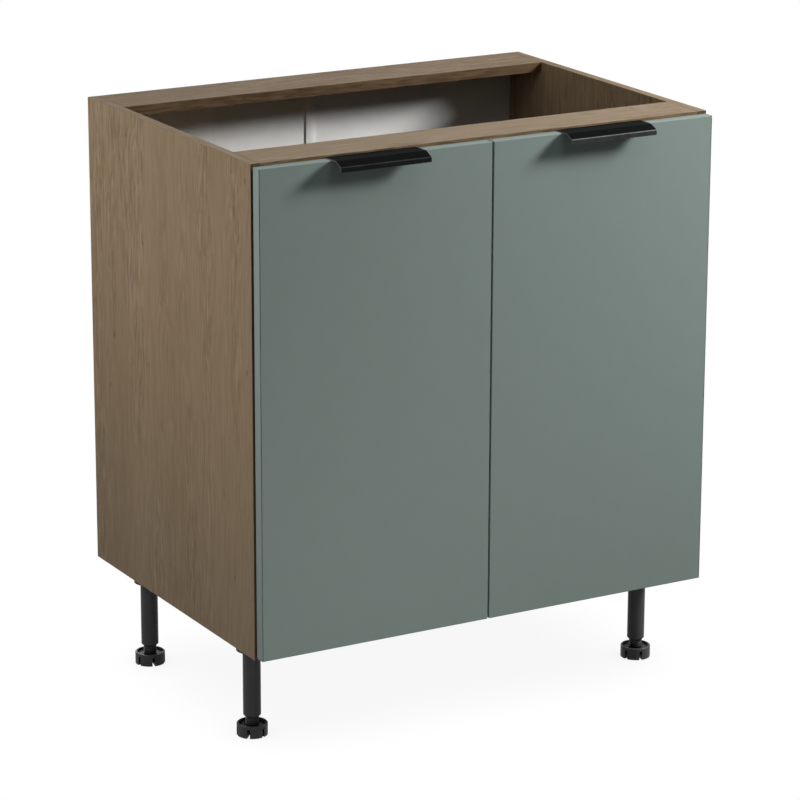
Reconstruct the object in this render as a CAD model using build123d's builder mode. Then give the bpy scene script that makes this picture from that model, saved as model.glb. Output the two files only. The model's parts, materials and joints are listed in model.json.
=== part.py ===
from build123d import *
import os
from math import hypot

# Kitchen base cabinet with two doors on adjustable legs, in millimetres.
# X runs to the right, Y to the back and Z up. The origin is on the floor, in the middle of the plan.

# Carcass
cabinet_width = 800
carcass_depth = 560
carcass_height = 768
board = 16
leg_height = 160
front_rail_width = 86
back_rail_width = 99

# Back panel: two thin sheets in a plastic joiner
back_sheet = 3
back_inset = 2
joiner_width = 18
joiner_wall = 1.2
joiner_slack = 0.2
joiner_end_gap = 0.3

# Knock-down fittings: cam, bolt and dowel in each end of the bottom and of the rails
cam_radius = 7.5
cam_depth = 12.5
cam_setback = 34
cam_slot_width = 2
cam_slot_depth = 1.5
cam_slot_length = 9
bolt_radius = 3.5
bolt_thread_radius = 2.5
bolt_thread_length = 10.5
dowel_radius = 4
dowel_length = 30
dowel_in_side = 10
fitting_clearance = 0.05
bottom_bolt_inset = 60
bottom_dowel_inset = 150
rail_bolt_shift = 16

# Shelf on four pins in a drilled row of holes
shelf_setback = 20
shelf_back_gap = 40
shelf_side_gap = 1
shelf_height = 368
pin_radius = 2.5
pin_fit = 0.05
pin_in_side = 9
pin_out = 9
pin_row_pitch = 64
pin_row_count = 3
pin_front_inset = 57
pin_back_inset = 120
pin_hole_depth = 12

# Doors
door_thickness = 18
door_gap = 2.6
door_side_reveal = 2.5
door_centre_gap = 3
door_top_reveal = 4.2
door_bottom_reveal = 3.8
door_edge_break = 0.6
bumper_radius = 4
bumper_thickness = 2.3
bumper_round = 0.6
bumper_inset = 14
bumper_from_top = 7
bumper_from_bottom = 7

# Edge-pull handles, a bent profile over each door's top edge
handle_length = 153
handle_sheet = 1.5
handle_flange = 20
handle_flat_reach = 11.5
handle_slope_reach = 14.5
handle_slope_drop = 6.5
handle_nose_reach = 1.5
handle_lip_drop = 6.5
handle_screw_spacing = 96
handle_screw_drop = 12
handle_screw_radius = 1.6
handle_screw_head = 3
handle_screw_length = 13
countersink_taper = 45

# Concealed hinges: pivots in plan, measured inwards from the side panel's inner face (first number)
# and forwards from the carcass front (second number), with the door closed
hinge_from_end = 100
long_arm_pivot = (20.0, -2.7)
long_cup_pivot = (-2.95, 4.2)
short_arm_pivot = (10.1, 8.5)
short_cup_pivot = (-2.15, 7.5)
long_link_bow = 3.2
short_link_bow = 2.5
link_width = 3
link_plate = 1.5
long_eye_radius = 2.2
long_pin_radius = 1.2
short_pin_radius = 1
short_eye_radius = 2.4
pin_running_fit = 0.05
open_pivot_clearance = 0.95
open_eye_radius = 2.95
tongue_half = 2
link_gap = 0.3
tongue_root_radius = 3.2
tongue_tip_radius = 2.4

cup_radius = 17.5
cup_depth = 11.5
cup_wall = 1.1
cup_floor = 1
cup_from_edge = 22.5
cup_clearance = 0.1
cup_rib = 2
cup_rib_reach = 9.5
cup_rib_set_back = 0.8
flange_sheet = 1.2
flange_height = 60
flange_width = 18
flange_start = 15.5
flange_corner = 6
cup_screw_spacing = 48
cup_screw_offset = 9.5
cup_screw_radius = 1.75
cup_screw_head = 3.5
cup_screw_head_height = 1.6
cup_screw_length = 13
screw_head_taper = 20

arm_width = 14
arm_wall = 1.2
arm_height = 15.5
arm_foot = 5
arm_front = -11
arm_length = 54
plate_sheet = 3
plate_length = 52
plate_width = 22
plate_setback = 37
plate_corner = 5
ridge_length = 40
ridge_side_gap = 0.1
plate_screw_spacing = 32
plate_screw_radius = 3
plate_screw_head = 4.5
plate_screw_head_height = 2
plate_screw_depth = 12

# Adjustable legs
leg_side_inset = 44.6
leg_front_inset = 97
leg_back_inset = 100
socket_radius = 24
socket_thickness = 5
socket_skirt = 16
socket_skirt_wall = 2
socket_spigot_length = 22
spigot_fit = 0.1
socket_screw_circle = 18
socket_screw_count = 4
socket_screw_turn = 45
socket_screw_radius = 2
socket_screw_head = 3.6
socket_screw_head_height = 2.2
socket_screw_depth = 13
tube_radius = 14
tube_wall = 2
tube_bottom = 30
tube_chamfer = 3
tube_bush_length = 34
foot_radius = 24.3
foot_height = 19.3
foot_top_chamfer = 1
foot_slot_width = 4.4
foot_slot_height = 14.4
foot_slot_depth = 18
foot_slot_count = 6
neck_radius = 10.6
neck_length = 40
thread_fit = 0.08
foot_turns = {"front_left": 48.6, "front_right": 18.9, "back_left": 18.3, "back_right": 40.0}

# Places worked out from the sizes
half_width = cabinet_width / 2
inner_half = half_width - board
base = leg_height
top = base + carcass_height
handle_nose = handle_flat_reach + handle_slope_reach + handle_nose_reach
door_front_reach = door_gap + door_thickness
back_reach = carcass_depth + back_sheet + joiner_wall
front = -(back_reach - door_front_reach - handle_nose) / 2
back = front + carcass_depth
door_bottom = base + door_bottom_reveal
door_top = top - door_top_reveal
door_height = door_top - door_bottom
door_width = half_width - door_side_reveal - door_centre_gap / 2
door_back_y = front - door_gap
door_front_y = door_back_y - door_thickness
bolt_level = base + board / 2
rail_level = top - board / 2
shelf_depth = carcass_depth - shelf_setback - shelf_back_gap
shelf_under = base + shelf_height
hinge_levels = {"lower": door_bottom + hinge_from_end, "upper": door_top - hinge_from_end}
sides = {"left": -1, "right": 1}

os.makedirs("parts", exist_ok=True)


def keep(piece, label):
    """Name a finished piece and write it to its own file."""
    piece.part.label = label
    export_step(piece.part, f"parts/{label}.step")


def seat(x, y, z, normal):
    """A work plane at a point of a face, facing along its outward normal, upright on a wall."""
    across = (1, 0, 0) if normal[2] else (-normal[1], normal[0], 0)
    return Plane(origin=(x, y, z), x_dir=across, z_dir=normal)


# Where a cam bolt and a dowel join each board to a side panel, as places along the depth
bottom_bolts = [front + bottom_bolt_inset, back - bottom_bolt_inset]
bottom_dowels = [front + bottom_dowel_inset, back - bottom_dowel_inset]
front_rail_middle = front + front_rail_width / 2
back_rail_middle = back - back_rail_width / 2
rail_bolts = [front_rail_middle + rail_bolt_shift, back_rail_middle - rail_bolt_shift]
rail_dowels = [front_rail_middle - rail_bolt_shift, back_rail_middle + rail_bolt_shift]
bolt_places = [(y, bolt_level) for y in bottom_bolts] + [(y, rail_level) for y in rail_bolts]
dowel_places = [(y, bolt_level) for y in bottom_dowels] + [(y, rail_level) for y in rail_dowels]
pin_columns = [front + pin_front_inset, back - pin_back_inset]
pin_level = shelf_under - pin_radius
pin_rows = [pin_level + (row - (pin_row_count - 1) / 2) * pin_row_pitch for row in range(pin_row_count)]


# Side panels, drilled on the inner face
for name, side in sides.items():
    inner = side * inner_half
    inward = (-side, 0, 0)
    with BuildPart() as side_panel:
        with BuildSketch(Plane.XY.offset(base)):
            with Locations((side * (half_width - board / 2), (front + back) / 2)):
                Rectangle(board, carcass_depth)
        extrude(amount=carcass_height)
        with Locations(*[seat(inner, y, z, inward) for y, z in bolt_places]):
            Hole(bolt_thread_radius + fitting_clearance, bolt_thread_length)
        with Locations(*[seat(inner, y, z, inward) for y, z in dowel_places]):
            Hole(dowel_radius + fitting_clearance, dowel_in_side)
        with Locations(*[seat(inner, y, z, inward) for y in pin_columns for z in pin_rows]):
            Hole(pin_radius, pin_hole_depth)
        with Locations(*[
            seat(inner, front + plate_setback, level + end * plate_screw_spacing / 2, inward)
            for level in hinge_levels.values()
            for end in (-1, 1)
        ]):
            Hole(plate_screw_radius + fitting_clearance, plate_screw_depth)
    keep(side_panel, f"{name}_side_panel")


def drill_ends(level, bolts, dowels):
    """Bolt and dowel bores in both ends of a board, and the cam bores in its underside."""
    for side in sides.values():
        outward = (side, 0, 0)
        with Locations(*[seat(side * inner_half, y, level, outward) for y in bolts]):
            Hole(bolt_radius + fitting_clearance, cam_setback)
        with Locations(*[seat(side * inner_half, y, level, outward) for y in dowels]):
            Hole(dowel_radius + fitting_clearance, dowel_length - dowel_in_side)
        cam_x = side * (inner_half - cam_setback)
        with Locations(*[seat(cam_x, y, level - board / 2, (0, 0, -1)) for y in bolts]):
            Hole(cam_radius + fitting_clearance, cam_depth)


# Bottom panel, with screw holes for the leg sockets
leg_places = {
    f"{row}_{name}": (side * (half_width - leg_side_inset), y)
    for row, y in {"front": front + leg_front_inset, "back": back - leg_back_inset}.items()
    for name, side in sides.items()
}
with BuildPart() as bottom_panel:
    with BuildSketch(Plane.XY.offset(base)):
        with Locations((0, (front + back) / 2)):
            Rectangle(2 * inner_half, carcass_depth)
    extrude(amount=board)
    drill_ends(bolt_level, bottom_bolts, bottom_dowels)
    for x, y in leg_places.values():
        with Locations(seat(x, y, base, (0, 0, -1))):
            with PolarLocations(socket_screw_circle, socket_screw_count, socket_screw_turn):
                Hole(socket_screw_radius + fitting_clearance, socket_screw_depth)
keep(bottom_panel, "bottom_panel")

# Top rails, flat between the side panels
for name, middle, width, bolt_y, dowel_y in (
    ("front_rail", front_rail_middle, front_rail_width, rail_bolts[0], rail_dowels[0]),
    ("back_rail", back_rail_middle, back_rail_width, rail_bolts[1], rail_dowels[1]),
):
    with BuildPart() as rail:
        with BuildSketch(Plane.XY.offset(top - board)):
            with Locations((0, middle)):
                Rectangle(2 * inner_half, width)
        extrude(amount=board)
        drill_ends(rail_level, [bolt_y], [dowel_y])
    keep(rail, name)

# Cams, bolts and dowels
with BuildPart() as cam_locks:
    for side in sides.values():
        for y, z in bolt_places:
            with BuildSketch(Plane.XY.offset(z - board / 2)):
                with Locations((side * (inner_half - cam_setback), y)):
                    Circle(cam_radius)
            extrude(amount=cam_depth)
            with BuildSketch(Plane.XY.offset(z - board / 2)):
                with Locations((side * (inner_half - cam_setback), y)):
                    Rectangle(cam_slot_width, cam_slot_length)
                    Rectangle(cam_slot_length, cam_slot_width)
            extrude(amount=cam_slot_depth, mode=Mode.SUBTRACT)
keep(cam_locks, "cam_locks")

with BuildPart() as cam_bolts:
    for side in sides.values():
        for y, z in bolt_places:
            with BuildSketch(seat(side * inner_half, y, z, (-side, 0, 0))):
                Circle(bolt_radius)
            extrude(amount=cam_setback - cam_radius - 2 * fitting_clearance)
            with BuildSketch(seat(side * inner_half, y, z, (side, 0, 0))):
                Circle(bolt_thread_radius)
            extrude(amount=bolt_thread_length - fitting_clearance)
keep(cam_bolts, "cam_bolts")

with BuildPart() as dowels:
    for side in sides.values():
        for y, z in dowel_places:
            start = side * (inner_half - dowel_length + dowel_in_side + fitting_clearance)
            with BuildSketch(seat(start, y, z, (side, 0, 0))):
                Circle(dowel_radius)
            extrude(amount=dowel_length - 2 * fitting_clearance)
keep(dowels, "dowels")

# Back sheets and the joiner between them
sheet_bottom = base + back_inset
sheet_top = top - back_inset
joiner_half = joiner_wall / 2 + joiner_slack
for name, side in sides.items():
    with BuildPart() as back_panel:
        with BuildSketch(Plane.XY.offset(sheet_bottom)):
            with Locations((side * (joiner_half + half_width - back_inset) / 2, back + back_sheet / 2)):
                Rectangle(half_width - back_inset - joiner_half, back_sheet)
        extrude(amount=sheet_top - sheet_bottom)
    keep(back_panel, f"back_panel_{name}")

joiner_bottom = base + board + joiner_end_gap
joiner_top = top - board - joiner_end_gap
with BuildPart() as joiner:
    with BuildSketch(Plane.XY.offset(joiner_bottom)):
        with Locations((0, back + back_sheet / 2)):
            Rectangle(joiner_wall, back_sheet)
        with Locations((0, back - joiner_wall / 2), (0, back + back_sheet + joiner_wall / 2)):
            Rectangle(joiner_width, joiner_wall)
    extrude(amount=joiner_top - joiner_bottom)
keep(joiner, "back_panel_joiner")

# Shelf and its pins
with BuildPart() as shelf:
    with BuildSketch(Plane.XY.offset(shelf_under)):
        with Locations((0, front + shelf_setback + shelf_depth / 2)):
            Rectangle(2 * (inner_half - shelf_side_gap), shelf_depth)
    extrude(amount=board)
keep(shelf, "shelf")

with BuildPart() as shelf_pins:
    for side in sides.values():
        for y in pin_columns:
            with BuildSketch(seat(side * (inner_half + pin_in_side), y, pin_level, (-side, 0, 0))):
                Circle(pin_radius - pin_fit)
            extrude(amount=pin_in_side + pin_out)
keep(shelf_pins, "shelf_pins")


# Hinges. A place in plan is given inwards from the side panel and forwards from the carcass front.
def plan(side, place):
    """The plan position of a hinge place on the left or the right side."""
    inwards, forwards = place
    return (side * (inner_half - inwards), front - forwards)


def bowed_middle(start, end, bow):
    """The place halfway from start to end, set off to the right by the bow."""
    run = (end[0] - start[0], end[1] - start[1])
    length = hypot(*run)
    off = (run[1] / length * bow, -run[0] / length * bow)
    return (start[0] + run[0] / 2 + off[0], start[1] + run[1] / 2 + off[1])


def link_plates(side, level, start, end, bow, start_eye, end_eye, start_hole, end_hole, inner_face):
    """Two bowed steel plates with an eye at each end, one on either side of the arm's tongue."""
    middle = bowed_middle(start, end, bow)
    with BuildPart() as link:
        for offset in (inner_face, -inner_face - link_plate):
            with BuildSketch(Plane.XY.offset(level + offset)):
                with BuildLine():
                    ThreePointArc(plan(side, start), plan(side, middle), plan(side, end))
                trace(line_width=link_width)
                with Locations(plan(side, start)):
                    Circle(start_eye)
                with Locations(plan(side, end)):
                    Circle(end_eye)
                with Locations(plan(side, start)):
                    Circle(start_hole, mode=Mode.SUBTRACT)
                with Locations(plan(side, end)):
                    Circle(end_hole, mode=Mode.SUBTRACT)
            extrude(amount=link_plate)
    return link


short_face = tongue_half + link_gap
long_face = short_face + link_plate + link_gap
rib_face = long_face + link_plate + link_gap
cup_centre = cup_from_edge + door_side_reveal - board
cup_mouth = door_gap
cup_bottom = cup_mouth + cup_depth
web_face = arm_height - arm_wall


def hinge_arm(side, level):
    """Channel over the mounting plate, with a tongue that carries both fixed pivots."""
    arm_back = arm_front - arm_length
    with BuildPart() as arm:
        with BuildSketch(Plane.XY.offset(level - arm_width / 2)):
            with Locations(plan(side, ((arm_foot + arm_height) / 2, (arm_front + arm_back) / 2))):
                Rectangle(arm_height - arm_foot, arm_length)
        extrude(amount=arm_width)
        with BuildSketch(Plane.XY.offset(level - arm_width / 2 + arm_wall)):
            with Locations(plan(side, ((arm_foot + web_face) / 2, (arm_front + arm_back) / 2))):
                Rectangle(web_face - arm_foot, arm_length)
        extrude(amount=arm_width - 2 * arm_wall, mode=Mode.SUBTRACT)
        with BuildSketch(Plane.XY.offset(level - tongue_half)):
            with BuildLine():
                Polyline(
                    plan(side, (arm_height, arm_front - arm_wall)),
                    plan(side, (arm_height, arm_front)),
                    plan(side, (long_arm_pivot[0] + tongue_root_radius, long_arm_pivot[1])),
                    plan(side, (long_arm_pivot[0] - tongue_root_radius, long_arm_pivot[1])),
                    plan(side, (web_face, arm_front - arm_wall)),
                    close=True,
                )
            make_face()
            with Locations(plan(side, long_arm_pivot)):
                Circle(tongue_root_radius)
        extrude(amount=2 * tongue_half)
        with BuildSketch(Plane.XY.offset(level - tongue_half)):
            with BuildLine():
                CenterArc(plan(side, long_arm_pivot), tongue_root_radius, 0, 360)
                CenterArc(plan(side, short_arm_pivot), tongue_tip_radius, 0, 360)
            make_hull()
        extrude(amount=2 * tongue_half)
        with BuildSketch(Plane.XY.offset(level - long_face - link_plate)):
            with Locations(plan(side, long_arm_pivot)):
                Circle(long_pin_radius)
        extrude(amount=2 * (long_face + link_plate))
        with BuildSketch(Plane.XY.offset(level - long_face + link_gap / 2)):
            with Locations(plan(side, long_arm_pivot)):
                Circle(long_eye_radius)
        extrude(amount=2 * long_face - link_gap)
        with BuildSketch(Plane.XY.offset(level - short_face - link_plate)):
            with Locations(plan(side, short_arm_pivot)):
                Circle(long_pin_radius)
        extrude(amount=2 * (short_face + link_plate))
    return arm


def mounting_plate(side, level):
    """Winged plate screwed to the side panel, with a ridge that the arm sits on."""
    ridge_half = arm_width / 2 - arm_wall - ridge_side_gap
    wall_face = side * inner_half
    with BuildPart() as plate:
        with BuildSketch(seat(wall_face, front + plate_setback, level, (-side, 0, 0))):
            RectangleRounded(plate_width, plate_length, plate_corner)
        extrude(amount=plate_sheet)
        with BuildSketch(Plane.XY.offset(level - ridge_half)):
            ridge_middle = arm_front - arm_length / 2
            with Locations(plan(side, ((plate_sheet + web_face) / 2, ridge_middle))):
                Rectangle(web_face - plate_sheet, ridge_length)
        extrude(amount=2 * ridge_half)
        with Locations(*[
            seat(
                wall_face - side * plate_sheet,
                front + plate_setback,
                level + end * plate_screw_spacing / 2,
                (-side, 0, 0),
            )
            for end in (-1, 1)
        ]):
            Hole(plate_screw_radius + fitting_clearance, plate_sheet)
    return plate


def hinge_cup(side, level):
    """Round cup let into the door, with wings on the door's back and ribs that hold the pivots."""
    centre = plan(side, (cup_centre, 0))[0]
    screws = [
        seat(
            centre - side * cup_screw_offset,
            door_back_y + flange_sheet,
            level + end * cup_screw_spacing / 2,
            (0, 1, 0),
        )
        for end in (-1, 1)
    ]
    with BuildPart() as cup:
        with BuildSketch(seat(centre, door_back_y, level, (0, -1, 0))):
            Circle(cup_radius)
        extrude(amount=cup_depth)
        with BuildSketch(seat(centre, door_back_y, level, (0, 1, 0))):
            Circle(cup_radius)
        extrude(amount=flange_sheet)
        flange_x = centre + side * (cup_radius - flange_start - flange_width / 2)
        with BuildSketch(seat(flange_x, door_back_y, level, (0, 1, 0))):
            RectangleRounded(flange_width, flange_height, flange_corner)
        extrude(amount=flange_sheet)
        edge_x = centre + side * cup_radius
        with BuildSketch(seat(edge_x, door_back_y, level, (0, 1, 0))):
            Rectangle(2 * flange_start, 2 * cup_radius)
        extrude(amount=flange_sheet, mode=Mode.SUBTRACT)
        with BuildSketch(seat(centre, door_back_y + flange_sheet, level, (0, -1, 0))):
            Circle(cup_radius - cup_wall)
        extrude(amount=flange_sheet + cup_depth - cup_floor, mode=Mode.SUBTRACT)
        rib_start = cup_centre - cup_radius + 2 * cup_wall
        rib_front = cup_mouth + cup_rib_set_back
        rib_back = cup_bottom - cup_floor
        rib_middle = plan(side, (rib_start + cup_rib_reach / 2, (rib_front + rib_back) / 2))
        for offset in (rib_face, -rib_face - cup_rib):
            with BuildSketch(Plane.XY.offset(level + offset)):
                with Locations(rib_middle):
                    Rectangle(cup_rib_reach, rib_back - rib_front)
            extrude(amount=cup_rib)
        with BuildSketch(Plane.XY.offset(level - rib_face)):
            with Locations(plan(side, short_cup_pivot)):
                Circle(short_pin_radius)
        extrude(amount=2 * rib_face)
        for offset in (long_face - link_gap / 2, -rib_face):
            with BuildSketch(Plane.XY.offset(level + offset)):
                with Locations(plan(side, long_cup_pivot)):
                    Circle(long_pin_radius)
            extrude(amount=rib_face - long_face + link_gap / 2)
        with Locations(*screws):
            Hole(cup_screw_radius + fitting_clearance, flange_sheet)
    return cup


def cup_screw_places(side):
    """Where both hinges' cups are screwed to a door, on the wings' outer face."""
    x = plan(side, (cup_centre + cup_screw_offset, 0))[0]
    return [
        (x, level + end * cup_screw_spacing / 2)
        for level in hinge_levels.values()
        for end in (-1, 1)
    ]


for name, side in sides.items():
    for row, level in hinge_levels.items():
        keep(mounting_plate(side, level), f"{name}_{row}_hinge_plate")
        keep(hinge_arm(side, level), f"{name}_{row}_hinge_arm")
        keep(hinge_cup(side, level), f"{name}_{row}_hinge_cup")
        long_link = link_plates(
            side, level, long_arm_pivot, long_cup_pivot, long_link_bow,
            long_eye_radius, long_eye_radius,
            long_pin_radius + pin_running_fit, long_pin_radius + pin_running_fit, long_face,
        )
        keep(long_link, f"{name}_{row}_long_link")
        short_link = link_plates(
            side, level, short_arm_pivot, short_cup_pivot, short_link_bow,
            short_eye_radius, open_eye_radius,
            long_pin_radius + pin_running_fit, short_pin_radius + open_pivot_clearance, short_face,
        )
        keep(short_link, f"{name}_{row}_short_link")

with BuildPart() as plate_screws:
    for side in sides.values():
        for level in hinge_levels.values():
            for end in (-1, 1):
                z = level + end * plate_screw_spacing / 2
                face = side * (inner_half - plate_sheet)
                with BuildSketch(seat(face, front + plate_setback, z, (-side, 0, 0))):
                    Circle(plate_screw_head)
                extrude(amount=plate_screw_head_height)
                with BuildSketch(seat(face, front + plate_setback, z, (side, 0, 0))):
                    Circle(plate_screw_radius)
                extrude(amount=plate_sheet + plate_screw_depth - fitting_clearance)
keep(plate_screws, "hinge_plate_screws")


# Doors, with bores for the hinge cups and screws
def handle_screw_places(side):
    """Where a handle's flange is screwed to the door's back."""
    middle = side * (door_centre_gap + door_width) / 2
    return [(middle + end * handle_screw_spacing / 2, door_top - handle_screw_drop) for end in (-1, 1)]


for name, side in sides.items():
    middle = side * (door_centre_gap + door_width) / 2
    with BuildPart() as door:
        with BuildSketch(Plane.XY.offset(door_bottom)):
            with Locations((middle, door_back_y - door_thickness / 2)):
                Rectangle(door_width, door_thickness)
        extrude(amount=door_height)
        chamfer(door.edges(), door_edge_break)
        cup_x = plan(side, (cup_centre, 0))[0]
        with Locations(*[seat(cup_x, door_back_y, level, (0, 1, 0)) for level in hinge_levels.values()]):
            Hole(cup_radius + cup_clearance, cup_depth)
        with Locations(*[seat(x, door_back_y, z, (0, 1, 0)) for x, z in cup_screw_places(side)]):
            Hole(cup_screw_radius + fitting_clearance, cup_screw_length)
        with Locations(*[seat(x, door_back_y, z, (0, 1, 0)) for x, z in handle_screw_places(side)]):
            Hole(handle_screw_radius + fitting_clearance, handle_screw_length)
    keep(door, f"{name}_door")

    with BuildPart() as cup_screws:
        for x, z in cup_screw_places(side):
            with BuildSketch(seat(x, door_back_y + flange_sheet, z, (0, 1, 0))):
                Circle(cup_screw_head)
            extrude(amount=cup_screw_head_height, taper=screw_head_taper)
            with BuildSketch(seat(x, door_back_y + flange_sheet, z, (0, -1, 0))):
                Circle(cup_screw_radius)
            extrude(amount=flange_sheet + cup_screw_length - fitting_clearance)
    keep(cup_screws, f"{name}_hinge_cup_screws")

    with BuildPart() as bumpers:
        bumper_x = side * (door_centre_gap / 2 + bumper_inset)
        for z in (door_top - bumper_from_top, door_bottom + bumper_from_bottom):
            with BuildSketch(seat(bumper_x, door_back_y, z, (0, 1, 0))):
                Circle(bumper_radius)
            extrude(amount=bumper_thickness)
        fillet(bumpers.faces().sort_by(Axis.Y)[-2:].edges(), bumper_round)
    keep(bumpers, f"{name}_door_bumpers")

    # The handle's section, from the foot of its flange over the door's edge to its lip
    flange_y = door_back_y + handle_sheet
    flat_end = door_front_y - handle_flat_reach
    slope_end = flat_end - handle_slope_reach
    nose = slope_end - handle_nose_reach
    upper = door_top + handle_sheet
    with BuildPart() as handle:
        with BuildSketch(Plane.YZ.offset(middle - handle_length / 2)):
            with BuildLine():
                outer = Polyline(
                    (flange_y, door_top - handle_flange),
                    (flange_y, upper),
                    (flat_end, upper),
                    (slope_end, upper - handle_slope_drop),
                    (nose, upper - handle_slope_drop - handle_nose_reach),
                    (nose, upper - handle_slope_drop - handle_nose_reach - handle_lip_drop),
                )
                offset(outer, amount=handle_sheet, side=Side.LEFT, kind=Kind.INTERSECTION)
            make_face()
        extrude(amount=handle_length)
        with Locations(*[seat(x, flange_y, z, (0, 1, 0)) for x, z in handle_screw_places(side)]):
            CounterSinkHole(handle_screw_radius + fitting_clearance, handle_screw_head, handle_sheet)
    keep(handle, f"{name}_handle")

    with BuildPart() as handle_screws:
        for x, z in handle_screw_places(side):
            shank = handle_sheet + handle_screw_length - fitting_clearance
            with BuildSketch(seat(x, flange_y, z, (0, -1, 0))):
                Circle(handle_screw_radius)
            extrude(amount=shank)
            head_depth = handle_screw_head - handle_screw_radius - fitting_clearance
            with BuildSketch(seat(x, flange_y, z, (0, -1, 0))):
                Circle(handle_screw_head - fitting_clearance)
            extrude(amount=head_depth, taper=countersink_taper)
    keep(handle_screws, f"{name}_handle_screws")

# Legs: a cup-shaped socket screwed under the bottom, a tube pushed onto it and a screw-in foot
tube_top = base - socket_thickness
tube_bore = tube_radius - tube_wall
for name, (x, y) in leg_places.items():
    with BuildPart() as socket:
        with BuildSketch(Plane.XY.offset(tube_top)):
            with Locations((x, y)):
                Circle(socket_radius)
        extrude(amount=socket_thickness)
        with BuildSketch(Plane.XY.offset(tube_top - socket_skirt)):
            with Locations((x, y)):
                Circle(socket_radius)
                Circle(socket_radius - socket_skirt_wall, mode=Mode.SUBTRACT)
        extrude(amount=socket_skirt)
        with BuildSketch(Plane.XY.offset(tube_top - socket_spigot_length)):
            with Locations((x, y)):
                Circle(tube_bore - spigot_fit)
        extrude(amount=socket_spigot_length)
        with Locations(seat(x, y, tube_top, (0, 0, -1))):
            with PolarLocations(socket_screw_circle, socket_screw_count, socket_screw_turn):
                Hole(socket_screw_radius + fitting_clearance, socket_thickness)
    keep(socket, f"{name}_leg_socket")

    with BuildPart() as tube:
        with BuildSketch(Plane(origin=(x, y, 0), x_dir=(1, 0, 0), z_dir=(0, -1, 0))):
            with BuildLine():
                Polyline(
                    (neck_radius + thread_fit, tube_bottom),
                    (tube_radius - tube_chamfer, tube_bottom),
                    (tube_radius, tube_bottom + tube_chamfer),
                    (tube_radius, tube_top),
                    (tube_bore, tube_top),
                    (tube_bore, tube_bottom + tube_bush_length),
                    (neck_radius + thread_fit, tube_bottom + tube_bush_length),
                    close=True,
                )
            make_face()
        revolve(axis=Axis((x, y, 0), (0, 0, 1)))
    keep(tube, f"{name}_leg_tube")

    with BuildPart() as foot:
        with BuildSketch(Plane(origin=(x, y, 0), x_dir=(1, 0, 0), z_dir=(0, -1, 0))):
            with BuildLine():
                Polyline(
                    (0, 0),
                    (foot_radius, 0),
                    (foot_radius, foot_height - foot_top_chamfer),
                    (foot_radius - foot_top_chamfer, foot_height),
                    (neck_radius, foot_height),
                    (neck_radius, foot_height + neck_length),
                    (0, foot_height + neck_length),
                    close=True,
                )
            make_face()
        revolve(axis=Axis((x, y, 0), (0, 0, 1)))
        with BuildSketch(Plane.XY):
            with Locations((x, y)):
                with PolarLocations(foot_radius, foot_slot_count, foot_turns[name]):
                    Rectangle(2 * foot_slot_depth, foot_slot_width)
        extrude(amount=foot_slot_height, mode=Mode.SUBTRACT)
    keep(foot, f"{name}_foot")

with BuildPart() as socket_screws:
    for x, y in leg_places.values():
        with BuildSketch(seat(x, y, tube_top, (0, 0, -1))):
            with PolarLocations(socket_screw_circle, socket_screw_count, socket_screw_turn):
                Circle(socket_screw_head)
        extrude(amount=socket_screw_head_height, taper=screw_head_taper)
        with BuildSketch(seat(x, y, tube_top, (0, 0, 1))):
            with PolarLocations(socket_screw_circle, socket_screw_count, socket_screw_turn):
                Circle(socket_screw_radius)
        extrude(amount=socket_thickness + socket_screw_depth - fitting_clearance)
keep(socket_screws, "leg_socket_screws")

overall_depth = handle_nose + door_front_reach + back_reach
print("overall", cabinet_width, overall_depth, top, "front plane", round(front, 3))
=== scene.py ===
# %% [markdown]
# # A kitchen base cabinet, dressed in Blender
# The CAD model gives every board, hinge, leg and door its size and place. This lesson
# adds what the CAD leaves out: eased edges, screws, threads, and above all the finishes,
# oak laminate, matt green doors, black metal and plastic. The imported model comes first,
# because every later piece is placed by asking the frame where its CAD node is.

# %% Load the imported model
import json
from math import cos, pi, radians, sin

import bmesh
import bpy
from mathutils import Matrix, Quaternion, Vector


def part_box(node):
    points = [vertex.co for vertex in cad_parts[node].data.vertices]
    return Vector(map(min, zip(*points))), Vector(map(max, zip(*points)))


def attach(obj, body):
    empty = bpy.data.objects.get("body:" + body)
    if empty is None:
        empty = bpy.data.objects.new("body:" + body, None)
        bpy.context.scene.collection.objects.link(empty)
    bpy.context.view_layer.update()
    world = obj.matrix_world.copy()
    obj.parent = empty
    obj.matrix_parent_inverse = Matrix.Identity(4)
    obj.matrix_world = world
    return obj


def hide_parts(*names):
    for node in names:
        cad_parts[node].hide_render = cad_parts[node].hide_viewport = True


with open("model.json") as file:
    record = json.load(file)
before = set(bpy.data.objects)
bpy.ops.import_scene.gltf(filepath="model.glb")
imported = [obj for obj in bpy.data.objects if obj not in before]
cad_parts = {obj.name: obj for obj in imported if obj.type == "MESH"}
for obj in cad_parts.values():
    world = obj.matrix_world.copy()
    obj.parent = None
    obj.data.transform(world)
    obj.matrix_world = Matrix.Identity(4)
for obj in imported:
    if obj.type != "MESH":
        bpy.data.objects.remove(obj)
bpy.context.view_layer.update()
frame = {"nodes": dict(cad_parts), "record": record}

# %% [markdown]
# ## The camera
# The photograph was taken from the front left, a little above the worktop, with a long
# lens that keeps the edges almost parallel. The place and the lens were fitted to the
# cabinet's corners, so the render can be laid over the photograph edge by edge.

# %% Place the camera
camera_place = Vector((-2.7004, -4.7218, 2.0431))
camera_forward = Vector((0.4763, 0.8331, -0.2814))
camera_roll = radians(0.19)
image_pixels = 800
focal_pixels = 3532.8

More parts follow.
